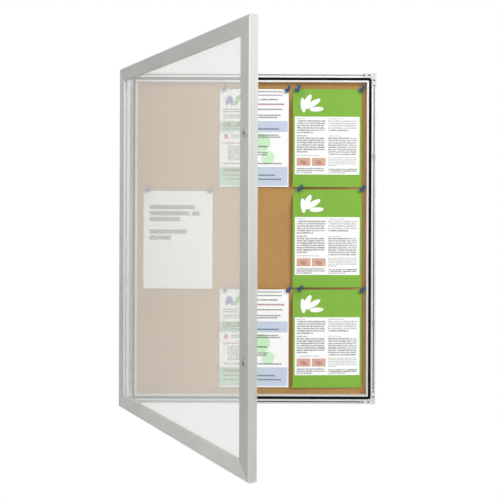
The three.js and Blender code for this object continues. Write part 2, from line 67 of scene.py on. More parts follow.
# Camera, fitted to the photograph
IMAGE_PIXELS = 500
FOCAL_PIXELS = 762.8
HORIZON_PIXEL = 212.6
SENSOR_WIDTH = 36
CAMERA_PLACE = Vector((-5.5, -2333, 77.2)) * MM
CAMERA_ROLL = math.radians(-0.21)
NEAREST_SEEN = 0.05

# Lamps, in metres and watts. Each aims at the middle of the board unless it says otherwise, and only
# those that are mirrored show in the metal
BOARD_MIDDLE = (0, 0, 0)
LAMPS = {
    "key": dict(place=(2.4, -2.5, 1.7), size=(1.4, 1.4), power=66, mirrored=False),
    "front": dict(place=(-0.4, -4.2, 0.6), size=(3.4, 2.6), power=50, mirrored=False),
    "spark": dict(place=(0.9, -3.0, 2.0), size=(0.5, 0.5), power=8),
    "left": dict(place=(-3.0, -1.8, 0.6), aim=(-0.2, -0.3, 0), size=(1.8, 2.4), power=16.5),
    "back": dict(place=(0.4, 2.8, 1.6), size=(2.4, 2.0), power=30),
}

# Floor, in metres. Round the board it keeps its shading; further off it is as white as the sky
FLOOR_LEVEL = -1.45
FLOOR_SIZE = 30
FLOOR_COLOUR = (0.86, 0.86, 0.855)
FLOOR_MIRRORED_COLOUR = (0.6, 0.6, 0.6)
FLOOR_GLOW_SHARE = 0.6
SHADED_RADIUS = 0.7
WHITE_RADIUS = 1.6

# Sky. What metal mirrors of it falls from the front level to the back level while a ray's direction
# along Y turns through the range
SKY_LEVEL = 0.42
MIRROR_FRONT_LEVEL = 1.0
MIRROR_BACK_LEVEL = 0.34
MIRROR_RANGE = (-0.3, 0.6)

# Height of an A4 sheet over its width
A4_RATIO = math.sqrt(2)

# Sheets: how many mm they stand off the cork at the lower left, at the lower right and in the bow of
# the middle. The slack sheet rises by a power of the way down. The others rise over a short reach that
# begins near their pins; both reaches are shares of a sheet's height
SHEET_THICKNESS = 0.2 * MM
SHEET_REST = 0.1 * MM
SHEET_CURLS = {
    "notice_sheet": (1.6, 2.6, 0.8),
    "leaflet_top_sheet": (3.4, 6.2, 0.8),
    "leaflet_low_sheet": (3.0, 6.6, 0.7),
    "poster_top_sheet": (10.6, 3.6, 0.8),
    "poster_mid_sheet": (10.2, 3.8, 0.6),
    "poster_low_sheet": (11.0, 4.2, 0.8),
}
SLACK_SHEET = "notice_sheet"
SLACK_POWER = 1.6
BOW_DOWN_SHARE = 0.8
PINNED_REACH_SHARE = 0.035
RISING_REACH_SHARE = 0.10
SHEET_COLUMNS = 24
SHEET_ROWS = 32
SHEET_SHARP_ANGLE = 40

# Push pins. Outlines give radius and height in mm
PIN_LEAN = math.radians(50)
PIN_TURN = math.radians(34)
PIN_AXIS = Vector((
    math.sin(PIN_LEAN) * math.sin(PIN_TURN),
    -math.cos(PIN_LEAN),
    math.sin(PIN_LEAN) * math.cos(PIN_TURN),
))
PIN_SEGMENTS = 28
PIN_SHARP_ANGLE = 50
PIN_OUTLINE = [
    (0, 0), (5.9, 0), (6.4, 0.3), (6.7, 1.0), (6.8, 2.2), (6.65, 3.6), (6.2, 4.9), (5.5, 6.0),
    (4.75, 6.9), (4.2, 7.8), (3.9, 8.9), (3.8, 10.2), (3.85, 12.0), (4.0, 14.0), (4.25, 15.8),
    (4.55, 17.2), (4.75, 18.2), (4.8, 19.0), (4.65, 19.8), (4.1, 20.5), (2.8, 20.9), (0, 21),
]
NEEDLE_OUTLINE = [(0, -8.2), (0.25, -7.6), (0.6, -6.2), (0.6, 0.1), (0, 0.1)]

# Screws in the hinge leaves, in mm: a domed head with a cross recess, turned on from screw to screw by
# so many radians. A leaf is flat from a start that is counted from the hinge's axis
SCREW_RADIUS = 2.1
SCREW_HEIGHT = 0.55
SCREW_RIM_SHARE = 0.35
SCREW_SHOULDER_SHARES = (0.86, 0.8)
SCREW_POINTS = 48
SCREW_TURN = 0.7
SCREW_SHARP_ANGLE = 30
RECESS_REACH = 1.25
RECESS_WIDTH = 0.36
RECESS_DEPTH = 0.5
RECESS_BORDER_SHARE = 1.08
RECESS_EDGE_SHARE = 0.98
RECESS_FLOOR_SHARE = 0.8
LEAF_SCREWS = 7
LEAF_END_SHARE = 0.05
LEAF_THICKNESS = 1.2
LEAF_FLAT_START = 3.4

# Black rubber plugs in the holes of the corner pieces, in mm; their black is painted shade for the dark holes. The
# holes lie on the groove's centre line, at shares of an arm's length. The outline gives radius and height
CORNER_ARM = 43
CORNER_HOLE_SHARES = (0.5, 0.88)
GROOVE_CENTRE = 6.5
SHADE_PLUG_OUTLINE = [
    (0, -2.4), (1.1, -2.4), (1.45, -2.1), (1.45, 0.02), (2.35, 0.02), (2.55, 0.15), (2.4, 0.34),
    (0, 0.42),
]
SHADE_PLUG_SEGMENTS = 20
SHADE_PLUG_SHARP_ANGLE = 50

# Edges of the carried-over solids by slot: radius in mm, and the angle in degrees from which an edge
# is rounded
EDGES = {
    "frame_aluminium": (0.3, 35),
    "corner_plastic": (0.25, 35),
    "lock_chrome": (0.2, 35),
    "glass": (0.3, 35),
    "hinge_steel": (0.12, 50),
    "seal_rubber": (0.12, 50),
}
EDGE_SEGMENTS = 2
WELD_REACH = 0.005 * MM

# Locks: how far the plug's face stands out of the door, and how soon the painted shade inside the keyway begins
LOCK_FACE_STAND_OFF = 1.5 * MM
KEYWAY_PAINTED_SHADE_DEPTH = 0.15 * MM

# Painted shade inside the case's groove, darkest on the bottom section and lightest on the top: its zone from the
# outer edge in mm, how deep it starts, and its tone as a share of the metal's
GROOVE_PAINTED_SHADE_ZONE = (4.4, 8.6)
GROOVE_PAINTED_SHADE_DEPTH = 0.3 * MM
TOP_GROOVE_PAINTED_SHADE = 0.55
SIDE_GROOVE_PAINTED_SHADE = 0.3
BOTTOM_GROOVE_PAINTED_SHADE = 0.03

# Colours of the finishes, linear
DOOR_ALLOY = (0.735, 0.735, 0.712)
# Painted light: the hinge stile and the bottom rail are lighter copies of the door's alloy
HINGE_STILE_PAINTED_LIGHT = (0.865, 0.865, 0.835)
BOTTOM_RAIL_PAINTED_LIGHT = (0.93, 0.93, 0.89)
CASE_ALLOY = (0.86, 0.865, 0.855)
BACK_ALLOY = (0.46, 0.47, 0.48)
CAST_METAL = (0.35, 0.36, 0.37)
STEEL = (0.55, 0.56, 0.57)
PLATING = (0.70, 0.705, 0.70)
# Painted shade inside the keyway
KEYWAY_PAINTED_SHADE = (0.012, 0.012, 0.013)
CORNER_GREY = (0.62, 0.625, 0.615)
SEAL_BLACK = (0.006, 0.006, 0.007)
GASKET_GREY = (0.78, 0.785, 0.775)
PIN_BLUE = (0.005, 0.094, 0.225)
# Painted reflection of the bright room on the glass
GLASS_PAINTED_REFLECTION = (0.98, 0.995, 0.965)
CORK_LIGHT = (0.505, 0.293, 0.111)
CORK_MIDDLE = (0.445, 0.253, 0.092)
CORK_DARK = (0.29, 0.145, 0.05)
PAPER_WHITE = (0.91, 0.91, 0.905)
POSTER_GREEN = (0.208, 0.425, 0.050)

# Part of a noise's range that most of its values lie in
NOISE_RANGE = (0.3, 0.7)

# Brushed metal. Lines, bands and smudges are counted in a metre
BRUSH_LENGTH = 60
ALONG_Z = (1, 1, BRUSH_LENGTH)
ALONG_X = (BRUSH_LENGTH, 1, 1)
BRUSH_LINES = 1100
BRUSH_BANDS = 90
BRUSH_SMUDGES = 9
BRUSH_LINE_SHARE = 0.6
BRUSH_TONE_SHARES = (0.93, 1.07)
BRUSH_LINE_ROUGHNESS = 0.12
BRUSH_SMUDGE_ROUGHNESS = (-0.1, 0.0)
BRUSH_DEPTH = 0.02 * MM
SATIN_ROUGHNESS = 0.38
MILL_ROUGHNESS = 0.42
STEEL_ROUGHNESS = 0.3
ANODISED_METAL_SHARE = 0.7

# Cast metal and plated metal. Grains and wear marks are counted in a metre
CAST_GRAINS = 700
CAST_TONE_SHARES = (0.8, 1.15)
CAST_ROUGHNESS = 0.55
CAST_ROUGHNESS_RANGE = (0.45, 0.65)
CAST_DEPTH = 0.08 * MM
PLATING_METAL_SHARE = 0.85
PLATING_WEAR = 420
PLATING_WEAR_RANGE = (0.35, 0.75)
PLATING_TONE_SHARES = (0.88, 1.06)
PLATING_ROUGHNESS = 0.32
PLATING_ROUGHNESS_RANGE = (0.24, 0.42)

# Plastics and rubber by slot. Mottles are counted in a metre
MOULDED_MOTTLES = 60
MOULDED_TONE_SHARES = (0.9, 1.1)
MOULDED_ROUGHNESS_DROP = 0.06
MOULDED_ROUGHNESS_RISE = 0.08
MOULDED_LOOKS = {
    "corner_plastic": dict(colour=CORNER_GREY, roughness=0.5, grain_size=1.2 * MM, depth=0.02 * MM),
    "seal_rubber": dict(colour=SEAL_BLACK, roughness=0.8, grain_size=0.8 * MM, depth=0.03 * MM,
                        Specular_IOR_Level=0.1),
    "gasket_rubber": dict(colour=GASKET_GREY, roughness=0.7, grain_size=0.8 * MM, depth=0.03 * MM),
    "pin_plastic": dict(colour=PIN_BLUE, roughness=0.34, grain_size=0.9 * MM, depth=0.01 * MM,
                        Coat_Weight=1.0, Coat_Roughness=0.16, Specular_IOR_Level=0.2),
}

# Cork. Granules and the like are counted in a metre; the warp bends the granules' outlines
CORK_GRANULES = 330
CORK_FINES = 900
CORK_SPECKS = 520
CORK_DRIFTS = 5
CORK_WARPS = 260
CORK_WARP = 2.2 * MM
CORK_SPECK_RANGE = (0.60, 0.70)
CORK_SPECK_SHARE = 0.5
CORK_SEAM_RANGE = (0.45, 0.75)
CORK_SEAM_SHARE = 0.25
CORK_DRIFT_RANGE = (0.35, 0.65)
CORK_DRIFT_SHARES = (0.97, 1.03)
CORK_FINE_SHARE = 0.5
CORK_DEPTH = 0.2 * MM
CORK_ROUGHNESS = 0.9
CORK_GLOSS_LEVEL = 0.15

# Glass. The veil is a painted reflection of the bright room; its share is the pane's alpha
GLASS_PAINTED_REFLECTION_SHARE = 0.35
GLASS_SMEARS = 6
GLASS_SMEAR_RANGE = (0.35, 0.7)
GLASS_ROUGHNESS = 0.06
GLASS_ROUGHNESS_RANGE = (0.04, 0.13)

# Paper. Mottles and fibres are counted in a metre
PLAIN_PAPER_ROUGHNESS = 0.7
COATED_PAPER_ROUGHNESS = 0.55
PAPER_GLOSS_LEVEL = 0.25
PAPER_MOTTLES = 14
PAPER_TONE_SHARES = (0.97, 1.02)
PAPER_FIBRES = 900
NOTICE_FIBRE_DEPTH = 0.03 * MM
LEAFLET_FIBRE_DEPTH = 0.02 * MM
POSTER_FIBRE_DEPTH = 0.015 * MM

# Inks, linear
INK = (0.03, 0.03, 0.035)
GREY_INK = (0.16, 0.16, 0.17)
OLIVE_INK = (0.10, 0.10, 0.05)
WINE_INK = (0.28, 0.02, 0.04)
RED_INK = (0.22, 0.004, 0.006)
NAVY_INK = (0.012, 0.02, 0.06)
SLATE_INK = (0.05, 0.07, 0.08)

# Printed letters. Lanes keep the noise of one line apart from the next line's. The words' noise runs at
# a share of the strokes' rate, and a stroke is drawn where its noise is over the level
LANE_STEP = 13.7
STROKE_LEAN = 1.4
WORD_RATE_SHARE = 0.17
STROKE_LEVEL = 0.42
LETTER_WIDTH_SHARE = 0.7

# Kinds of text. A line's seed is its top times the kind's number, but the poster's lines have their own
NOTICE_TEXT = dict(strength=1.0, rows=1, rate=62, weight=0.95, gaps=0.25, letters=44)
NOTICE_SEEDS = 90
LEAFLET_TEXT = dict(strength=0.9, rate=60, gaps=0.22, ragged=0.12)
LEAFLET_SEEDS = 70
HEADING_TEXT = dict(strength=0.85, rows=1, rate=30, weight=1.0, gaps=0.1)
HEADING_SEEDS = 9
POSTER_TEXT = dict(rate=84, weight=0.62, gaps=0.14, ragged=0.05)

# Places on the sheets below are shares of a sheet's width and height, from its upper left corner

# Notice: the lines' tops and right ends
NOTICE_LEFT_SHARE = 0.088
NOTICE_LINE_HEIGHT_SHARE = 0.046
NOTICE_LINE_SHARES = [(0.142, 0.74), (0.206, 0.81), (0.266, 0.53), (0.393, 0.62), (0.456, 0.40)]

# Leaflet: two bands whose tint goes from green over blue to lilac, ovals and lines of text
BAND_RIGHT_SHARE = 0.985
BAND_SHARES = [(0.326, 0.438), (0.796, 0.988)]
BAND_GREEN = (0.40, 0.60, 0.39)
BAND_BLUE = (0.53, 0.62, 0.72)
BAND_LILAC = (0.55, 0.59, 0.75)
GREEN_TO_BLUE_SHARES = (0.20, 0.62)
BLUE_TO_LILAC_SHARES = (0.60, 1.0)

# Colour, strength, middle, long and short radius as shares of the width, and turn in degrees
LEAFLET_OVAL_SHARES = [
    ((0.48, 0.77, 0.46), 0.8, (0.60, 0.55), (0.135, 0.135), 0),
    ((0.52, 0.79, 0.50), 0.8, (0.70, 0.70), (0.095, 0.095), 0),
    ((0.09, 0.06, 0.42), 0.95, (0.125, 0.115), (0.075, 0.034), -68),
    ((0.13, 0.08, 0.46), 0.95, (0.165, 0.115), (0.075, 0.030), -108),
    ((0.19, 0.52, 0.05), 0.95, (0.255, 0.115), (0.085, 0.034), -62),
    ((0.55, 0.02, 0.03), 0.95, (0.095, 0.485), (0.040, 0.028), 90),
]

# Left, top, right, bottom, number of lines, ink, letters across the sheet (nought for loose strokes)
# and the lines' weight
LEAFLET_LINE_SHARES = [
    (0.44, 0.008, 0.95, 0.080, 2, SLATE_INK, 34, 0.36),
    (0.44, 0.100, 0.88, 0.114, 1, GREY_INK, 0, 1.0),
    (0.44, 0.147, 0.95, 0.164, 1, RED_INK, 52, 1.0),
    (0.05, 0.200, 0.95, 0.214, 1, INK, 58, 1.0),
    (0.05, 0.223, 0.44, 0.238, 1, WINE_INK, 44, 1.0),
    (0.05, 0.256, 0.90, 0.301, 2, INK, 50, 0.6),
    (0.08, 0.400, 0.97, 0.415, 1, NAVY_INK, 50, 1.0),
    (0.17, 0.461, 0.90, 0.501, 2, INK, 46, 0.65),
    (0.44, 0.580, 0.70, 0.595, 1, INK, 42, 1.0),
    (0.44, 0.640, 0.72, 0.682, 2, INK, 54, 0.6),
    (0.12, 0.576, 0.43, 0.727, 7, INK, 42, 0.62),
    (0.05, 0.545, 0.44, 0.560, 1, WINE_INK, 44, 1.0),
    (0.05, 0.754, 0.90, 0.768, 1, INK, 56, 1.0),
    (0.06, 0.860, 0.90, 0.943, 2, NAVY_INK, 30, 0.34),
]
LEAFLET_HEADING_SIDE_SHARES = (0.05, 0.44)
LEAFLET_HEADING_SHARES = [(0.336, 0.386), (0.812, 0.850)]

# Poster: a white panel with two columns of text, two small pictures in the first, and leaves over it
PANEL_SHARES = (0.031, 0.281, 0.969, 0.872)
FIRST_COLUMN_SHARES = (0.058, 0.478)
SECOND_COLUMN_SHARES = (0.512, 0.942)
PICTURE_SIDE_SHARES = [(0.058, 0.258), (0.278, 0.478)]
PICTURE_TOP_SHARE = 0.702
PICTURE_BOTTOM_SHARE = 0.784
PICTURE_COLOUR = (0.60, 0.33, 0.25)
PICTURE_STRENGTH = 0.9
PICTURE_OVAL_COLOUR = (0.40, 0.17, 0.12)
PICTURE_OVAL_STRENGTH = 0.6
PICTURE_OVAL_SHARES = (0.10, 0.750)
PICTURE_OVAL_RADII_SHARES = (0.05, 0.03)
PICTURE_OVAL_TURN = 20

# Middle, long and short radius as shares of the width, and turn in degrees
POSTER_LEAF_SHARES = [
    ((0.205, 0.130), (0.120, 0.040), -62),
    ((0.290, 0.150), (0.125, 0.040), -32),
    ((0.150, 0.165), (0.105, 0.036), -96),
    ((0.345, 0.205), (0.100, 0.034), -4),
]

# Column, top, bottom, number of lines, strength, share of the column's width, and seed
POSTER_LINE_SHARES = [
    (FIRST_COLUMN_SHARES, 0.293, 0.311, 1, 0.5, 0.30, 1.30),
    (SECOND_COLUMN_SHARES, 0.293, 0.311, 1, 0.5, 0.55, 1.55),
    (FIRST_COLUMN_SHARES, 0.314, 0.432, 5, 0.8, 1.0, 3),
    (FIRST_COLUMN_SHARES, 0.432, 0.455, 1, 0.8, 0.6, 4),
    (FIRST_COLUMN_SHARES, 0.467, 0.487, 1, 0.9, 0.38, 5),
    (FIRST_COLUMN_SHARES, 0.489, 0.629, 6, 0.85, 1.0, 6),
    (FIRST_COLUMN_SHARES, 0.629, 0.652, 1, 0.8, 0.40, 7),
    (SECOND_COLUMN_SHARES, 0.314, 0.408, 4, 0.6, 1.0, 8),
    (SECOND_COLUMN_SHARES, 0.408, 0.432, 1, 0.8, 0.7, 9),
    (SECOND_COLUMN_SHARES, 0.467, 0.487, 1, 0.5, 0.45, 10),
    (SECOND_COLUMN_SHARES, 0.489, 0.676, 8, 0.8, 1.0, 11),
    (SECOND_COLUMN_SHARES, 0.690, 0.772, 5, 0.5, 1.0, 12),
    (SECOND_COLUMN_SHARES, 0.772, 0.790, 1, 0.5, 0.3, 13),
    (SECOND_COLUMN_SHARES, 0.808, 0.844, 2, 0.9, 1.0, 14),
    (SECOND_COLUMN_SHARES, 0.844, 0.862, 1, 0.6, 0.6, 15),
    (FIRST_COLUMN_SHARES, 0.668, 0.686, 1, 0.5, 0.8, 16),
    (FIRST_COLUMN_SHARES, 0.800, 0.842, 2, 0.8, 1.0, 17),
    (FIRST_COLUMN_SHARES, 0.842, 0.862, 1, 0.8, 0.55, 18),
]


def scaled(colour, factor):
    return tuple(min(1.0, channel * factor) for channel in colour)


class Nodes:
    """Adds nodes to one tree. A value is a number, a vector, a colour or another node's output."""

    def __init__(self, tree):
        self.tree = tree

    def put(self, socket, value):
        if isinstance(value, bpy.types.NodeSocket):
            self.tree.links.new(value, socket)
        elif socket.type == "RGBA":
            socket.default_value = (*value, 1.0)
        else:
            socket.default_value = value

    def fill(self, node, **values):
        """Fills a node's inputs by name, with _ for a space."""
        for name, value in values.items():
            self.put(node.inputs[name.replace("_", " ")], value)

    def add(self, kind, inputs=None, **settings):
        node = self.tree.nodes.new(kind)
        for key, value in settings.items():
            setattr(node, key, value)
        for key, value in (inputs or {}).items():
            self.put(node.inputs[key], value)
        return node

    def math(self, operation, *values):
        return self.add("ShaderNodeMath", dict(enumerate(values)), operation=operation).outputs[0]

    def vector_math(self, operation, first, **more):
        node = self.add("ShaderNodeVectorMath", {0: first}, operation=operation)
        self.fill(node, **more)
        return node.outputs

    def times(self, *values):
        product = values[0]
        for value in values[1:]:
            product = self.math("MULTIPLY", product, value)
        return product

    def between(self, value, low, high):
        return self.times(self.math("GREATER_THAN", value, low), self.math("LESS_THAN", value, high))

    def remap(self, value, old, new=(0.0, 1.0)):
        """A value carried from one range to another, and held inside it."""
        inputs = {0: value, 1: old[0], 2: old[1], 3: new[0], 4: new[1]}
        return self.add("ShaderNodeMapRange", inputs).outputs[0]

    def blend(self, factor, first, second):
        return self.add("ShaderNodeMix", {0: factor, 2: first, 3: second}, data_type="FLOAT").outputs[0]

    def mix(self, factor, first, second):
        return self.add("ShaderNodeMix", {0: factor, 6: first, 7: second}, data_type="RGBA").outputs[2]

    def tones(self, factor, colour, shares):
        """A colour between two shares of itself."""
        return self.mix(factor, scaled(colour, shares[0]), scaled(colour, shares[1]))

    def coordinates(self, kind="Object"):
        return self.add("ShaderNodeTexCoord").outputs[kind]

    def parts(self, vector):
        return self.add("ShaderNodeSeparateXYZ", {0: vector}).outputs

    def vector(self, x, y):
        return self.add("ShaderNodeCombineXYZ", {0: x, 1: y}).outputs[0]

    def noise(self, vector, scale, detail=2.0, roughness=0.5):
        inputs = {"Vector": vector, "Scale": scale, "Detail": detail, "Roughness": roughness}
        return self.add("ShaderNodeTexNoise", inputs).outputs[0]

    def cells(self, vector, scale):
        return self.add("ShaderNodeTexVoronoi", {"Vector": vector, "Scale": scale}).outputs

    def bump(self, height, distance):
        return self.add("ShaderNodeBump", {"Height": height, "Distance": distance}).outputs[0]


def new_material(name, colour, roughness, **more):
    """A material, its node helper and its shader. The values given also stay under sockets that a finish
    links later, for viewers that read no nodes."""
    material = bpy.data.materials.new(name)
    material.use_nodes = True
    nodes = Nodes(material.node_tree)
    shader = material.node_tree.nodes["Principled BSDF"]
    nodes.fill(shader, Base_Color=colour, Roughness=roughness, **more)
    return material, nodes, shader


# Metals
def painted_shade_in_groove(nodes):
    """Where shade is painted: one inside the groove of the case, else nought."""
    low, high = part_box("case_top")
    x, y, z = nodes.parts(nodes.coordinates())
    from_side = nodes.math("SUBTRACT", high.x, nodes.math("ABSOLUTE", x))
    from_end = nodes.math("SUBTRACT", high.z, nodes.math("ABSOLUTE", z))
    inwards = nodes.math("MINIMUM", from_side, from_end)
    in_zone = nodes.between(inwards, GROOVE_PAINTED_SHADE_ZONE[0] * MM, GROOVE_PAINTED_SHADE_ZONE[1] * MM)
    return nodes.times(in_zone, nodes.math("GREATER_THAN", y, low.y + GROOVE_PAINTED_SHADE_DEPTH))


def brushed_metal(name, colour, roughness, stretch, turn=0.0, metallic=1.0, groove_painted_shade_share=None):
    """Fine lines that run along the axis whose stretch is long; turn is the section's own turn about Z. A groove
    share paints shade into the case's groove.
    """
    material, nodes, shader = new_material(name, colour, roughness, Metallic=metallic)
    inputs = {"Vector": nodes.coordinates(), "Rotation": (0, 0, turn), "Scale": stretch}
    place = nodes.add("ShaderNodeMapping", inputs, vector_type="TEXTURE").outputs[0]
    lines = nodes.noise(place, BRUSH_LINES, detail=3.0, roughness=0.65)
    bands = nodes.noise(place, BRUSH_BANDS)
    smudges = nodes.noise(nodes.coordinates(), BRUSH_SMUDGES, detail=3.0)
    tone = nodes.math("ADD", nodes.times(lines, BRUSH_LINE_SHARE), nodes.times(bands, 1 - BRUSH_LINE_SHARE))
    base = nodes.tones(nodes.remap(tone, NOISE_RANGE), colour, BRUSH_TONE_SHARES)
    if groove_painted_shade_share is not None:
        # Painted shade inside the case's groove
        base = nodes.mix(painted_shade_in_groove(nodes), base, scaled(colour, groove_painted_shade_share))
    smudged = nodes.remap(smudges, NOISE_RANGE, BRUSH_SMUDGE_ROUGHNESS)
    rough = nodes.math("ADD", nodes.times(lines, BRUSH_LINE_ROUGHNESS), smudged)
    rough = nodes.math("ADD", rough, roughness)
    nodes.fill(shader, Base_Color=base, Roughness=rough, Normal=nodes.bump(lines, BRUSH_DEPTH))
    return material


def cast_metal(name):
    material, nodes, shader = new_material(name, CAST_METAL, CAST_ROUGHNESS, Metallic=1.0)
    grain = nodes.noise(nodes.coordinates(), CAST_GRAINS, detail=4.0)
    nodes.fill(shader,
               Base_Color=nodes.tones(grain, CAST_METAL, CAST_TONE_SHARES),
               Roughness=nodes.remap(grain, NOISE_RANGE, CAST_ROUGHNESS_RANGE),
               Normal=nodes.bump(grain, CAST_DEPTH))
    return material


def satin_plate(name, keyway=False):
    """Satin plated metal; inside a keyway it has painted shade, from a little behind the face of the plug."""
    material, nodes, shader = new_material(name, PLATING, PLATING_ROUGHNESS, Metallic=PLATING_METAL_SHARE)
    place = nodes.coordinates()
    wear = nodes.noise(place, PLATING_WEAR, detail=4.0, roughness=0.7)
    tone = nodes.tones(wear, PLATING, PLATING_TONE_SHARES)
    # Painted shade inside the keyway, from a little behind the plug's face
    if keyway:
        lock = JOINTS["lock_upper_turn"]
        face = Vector(lock["pos_m"]).dot(Vector(lock["axis"])) - LOCK_FACE_STAND_OFF
        along = nodes.add("ShaderNodeVectorMath", {0: place, 1: lock["axis"]}, operation="DOT_PRODUCT")
        depth = nodes.math("SUBTRACT", along.outputs["Value"], face)
        tone = nodes.mix(nodes.remap(depth, (0.0, KEYWAY_PAINTED_SHADE_DEPTH)), tone, KEYWAY_PAINTED_SHADE)
    rough = nodes.remap(wear, PLATING_WEAR_RANGE, PLATING_ROUGHNESS_RANGE)
    nodes.fill(shader, Base_Color=tone, Roughness=rough)
    return material


# Plastics, rubber, cork and glass
def moulded(name, colour, roughness, grain_size, depth, **more):
    """Plastic or rubber with a fine moulded grain and slight mottling."""
    material, nodes, shader = new_material(name, colour, roughness, **more)
    grain = nodes.noise(nodes.coordinates(), 1 / grain_size, detail=3.0)
    mottle = nodes.noise(nodes.coordinates(), MOULDED_MOTTLES)
    rough_range = (roughness - MOULDED_ROUGHNESS_DROP, roughness + MOULDED_ROUGHNESS_RISE)
    nodes.fill(shader,
               Base_Color=nodes.tones(mottle, colour, MOULDED_TONE_SHARES),
               Roughness=nodes.remap(grain, NOISE_RANGE, rough_range),
               Normal=nodes.bump(grain, depth))
    return material


def cork(name):
    """Pressed cork: granules of two tones with bent outlines, dark specks and darker seams."""
    material, nodes, shader = new_material(
        name, CORK_MIDDLE, CORK_ROUGHNESS, Specular_IOR_Level=CORK_GLOSS_LEVEL)
    place = nodes.coordinates()
    warp = nodes.add("ShaderNodeTexNoise", {"Vector": place, "Scale": CORK_WARPS}).outputs["Color"]
    shift = nodes.vector_math("SCALE", warp, Scale=CORK_WARP)[0]
    bent = nodes.add("ShaderNodeVectorMath", {0: place, 1: shift}, operation="ADD").outputs[0]
    granules = nodes.cells(bent, CORK_GRANULES)
    fines = nodes.cells(bent, CORK_FINES)
    shade = nodes.add("ShaderNodeSeparateColor", {0: granules["Color"]}).outputs[0]
    speckle = nodes.noise(place, CORK_SPECKS, detail=3.0)
    specks = nodes.remap(speckle, CORK_SPECK_RANGE, (0.0, CORK_SPECK_SHARE))
    seams = nodes.remap(granules["Distance"], CORK_SEAM_RANGE, (0.0, CORK_SEAM_SHARE))
    colour = nodes.mix(shade, CORK_MIDDLE, CORK_LIGHT)
    colour = nodes.mix(specks, colour, CORK_DARK)
    colour = nodes.mix(seams, colour, CORK_DARK)
    drift = nodes.remap(nodes.noise(place, CORK_DRIFTS), CORK_DRIFT_RANGE, CORK_DRIFT_SHARES)
    relief = nodes.math("ADD", granules["Distance"], nodes.times(fines["Distance"], CORK_FINE_SHARE))
    nodes.fill(shader,
               Base_Color=nodes.vector_math("SCALE", colour, Scale=drift)[0],
               Normal=nodes.bump(nodes.times(relief, -1.0), CORK_DEPTH))
    return material


def pane_glass(name):
    """A clear pane with a pale veil over it, a painted reflection of the bright room."""
    material, nodes, shader = new_material(name, GLASS_PAINTED_REFLECTION, GLASS_ROUGHNESS, Alpha=GLASS_PAINTED_REFLECTION_SHARE)
    smears = nodes.noise(nodes.coordinates(), GLASS_SMEARS, detail=4.0, roughness=0.6)
    nodes.fill(shader, Roughness=nodes.remap(smears, GLASS_SMEAR_RANGE, GLASS_ROUGHNESS_RANGE))
    return material


# Print
def socket_group(name, inputs):
    """An empty node group, its node helper, its inputs by name and a call that sets its result."""
    tree = bpy.data.node_groups.new(name, "ShaderNodeTree")
    for label in inputs:
        tree.interface.new_socket(name=label, in_out="INPUT", socket_type="NodeSocketFloat")
    tree.interface.new_socket(name="ink", in_out="OUTPUT", socket_type="NodeSocketFloat")
    entry = tree.nodes.new("NodeGroupInput")
    leave = tree.nodes.new("NodeGroupOutput")
    return tree, Nodes(tree), entry.outputs, lambda value: tree.links.new(value, leave.inputs[0])


def lines_group():
    """Rows of letter-like marks in a box; all places are shares of the sheet, from its top left."""
    labels = ["u", "v", "left", "top", "right", "bottom",
              "rows", "weight", "rate", "ragged", "seed", "gaps", "letters"]
    tree, nodes, given, result = socket_group("printed_lines", labels)

    def share(value, low, high):
        return nodes.math("DIVIDE", nodes.math("SUBTRACT", value, low), nodes.math("SUBTRACT", high, low))

    across = share(given["u"], given["left"], given["right"])
    down = share(given["v"], given["top"], given["bottom"])
    place = nodes.math("MULTIPLY", down, given["rows"])
    row = nodes.math("FLOOR", place)
    phase = nodes.math("FRACT", place)

    random = nodes.add("ShaderNodeTexWhiteNoise", {"Vector": nodes.vector(row, given["seed"])}).outputs[0]
    end = nodes.math("SUBTRACT", 1.0, nodes.times(random, given["ragged"]))
    inside = nodes.times(nodes.between(across, 0.0, end), nodes.between(down, 0.0, 1.0))
    off_centre = nodes.math("ABSOLUTE", nodes.math("SUBTRACT", phase, 0.5))
    on_row = nodes.math("LESS_THAN", off_centre, nodes.times(given["weight"], 0.5))

    lane = nodes.math("ADD", nodes.times(row, LANE_STEP), given["seed"])
    leaned = nodes.math("ADD", lane, nodes.times(phase, STROKE_LEAN))
    along = nodes.times(given["u"], given["rate"])
    strokes = nodes.noise(nodes.vector(along, leaned), 1.0, detail=1.0)
    words = nodes.noise(nodes.vector(nodes.times(along, WORD_RATE_SHARE), lane), 1.0, detail=0.0)
    spaced = nodes.math("GREATER_THAN", given["letters"], 0.5)
    strokes = nodes.math("MAXIMUM", nodes.math("GREATER_THAN", strokes, STROKE_LEVEL), spaced)
    in_letter = nodes.math("FRACT", nodes.times(given["u"], given["letters"]))
    apart = nodes.math("LESS_THAN", in_letter, LETTER_WIDTH_SHARE)
    marks = nodes.times(strokes, apart, nodes.math("GREATER_THAN", words, given["gaps"]))
    result(nodes.times(inside, on_row, marks))
    return tree


def area_group():
    labels = ["u", "v", "left", "top", "right", "bottom"]
    tree, nodes, given, result = socket_group("printed_area", labels)
    result(nodes.times(
        nodes.between(given["u"], given["left"], given["right"]),
        nodes.between(given["v"], given["top"], given["bottom"])))
    return tree


def oval_group():
    """An oval turned by an angle whose cosine and sine are given; its radii are shares of the width."""
    labels = ["u", "v", "middle_u", "middle_v", "long", "short", "cosine", "sine"]
    tree, nodes, given, result = socket_group("printed_oval", labels)
    x = nodes.math("SUBTRACT", given["u"], given["middle_u"])
    y = nodes.times(nodes.math("SUBTRACT", given["v"], given["middle_v"]), A4_RATIO)
    along = nodes.math("ADD", nodes.times(x, given["cosine"]), nodes.times(y, given["sine"]))
    aside = nodes.math("SUBTRACT", nodes.times(y, given["cosine"]), nodes.times(x, given["sine"]))
    long_part = nodes.math("POWER", nodes.math("DIVIDE", along, given["long"]), 2.0)
    short_part = nodes.math("POWER", nodes.math("DIVIDE", aside, given["short"]), 2.0)
    result(nodes.math("LESS_THAN", nodes.math("ADD", long_part, short_part), 1.0))
    return tree


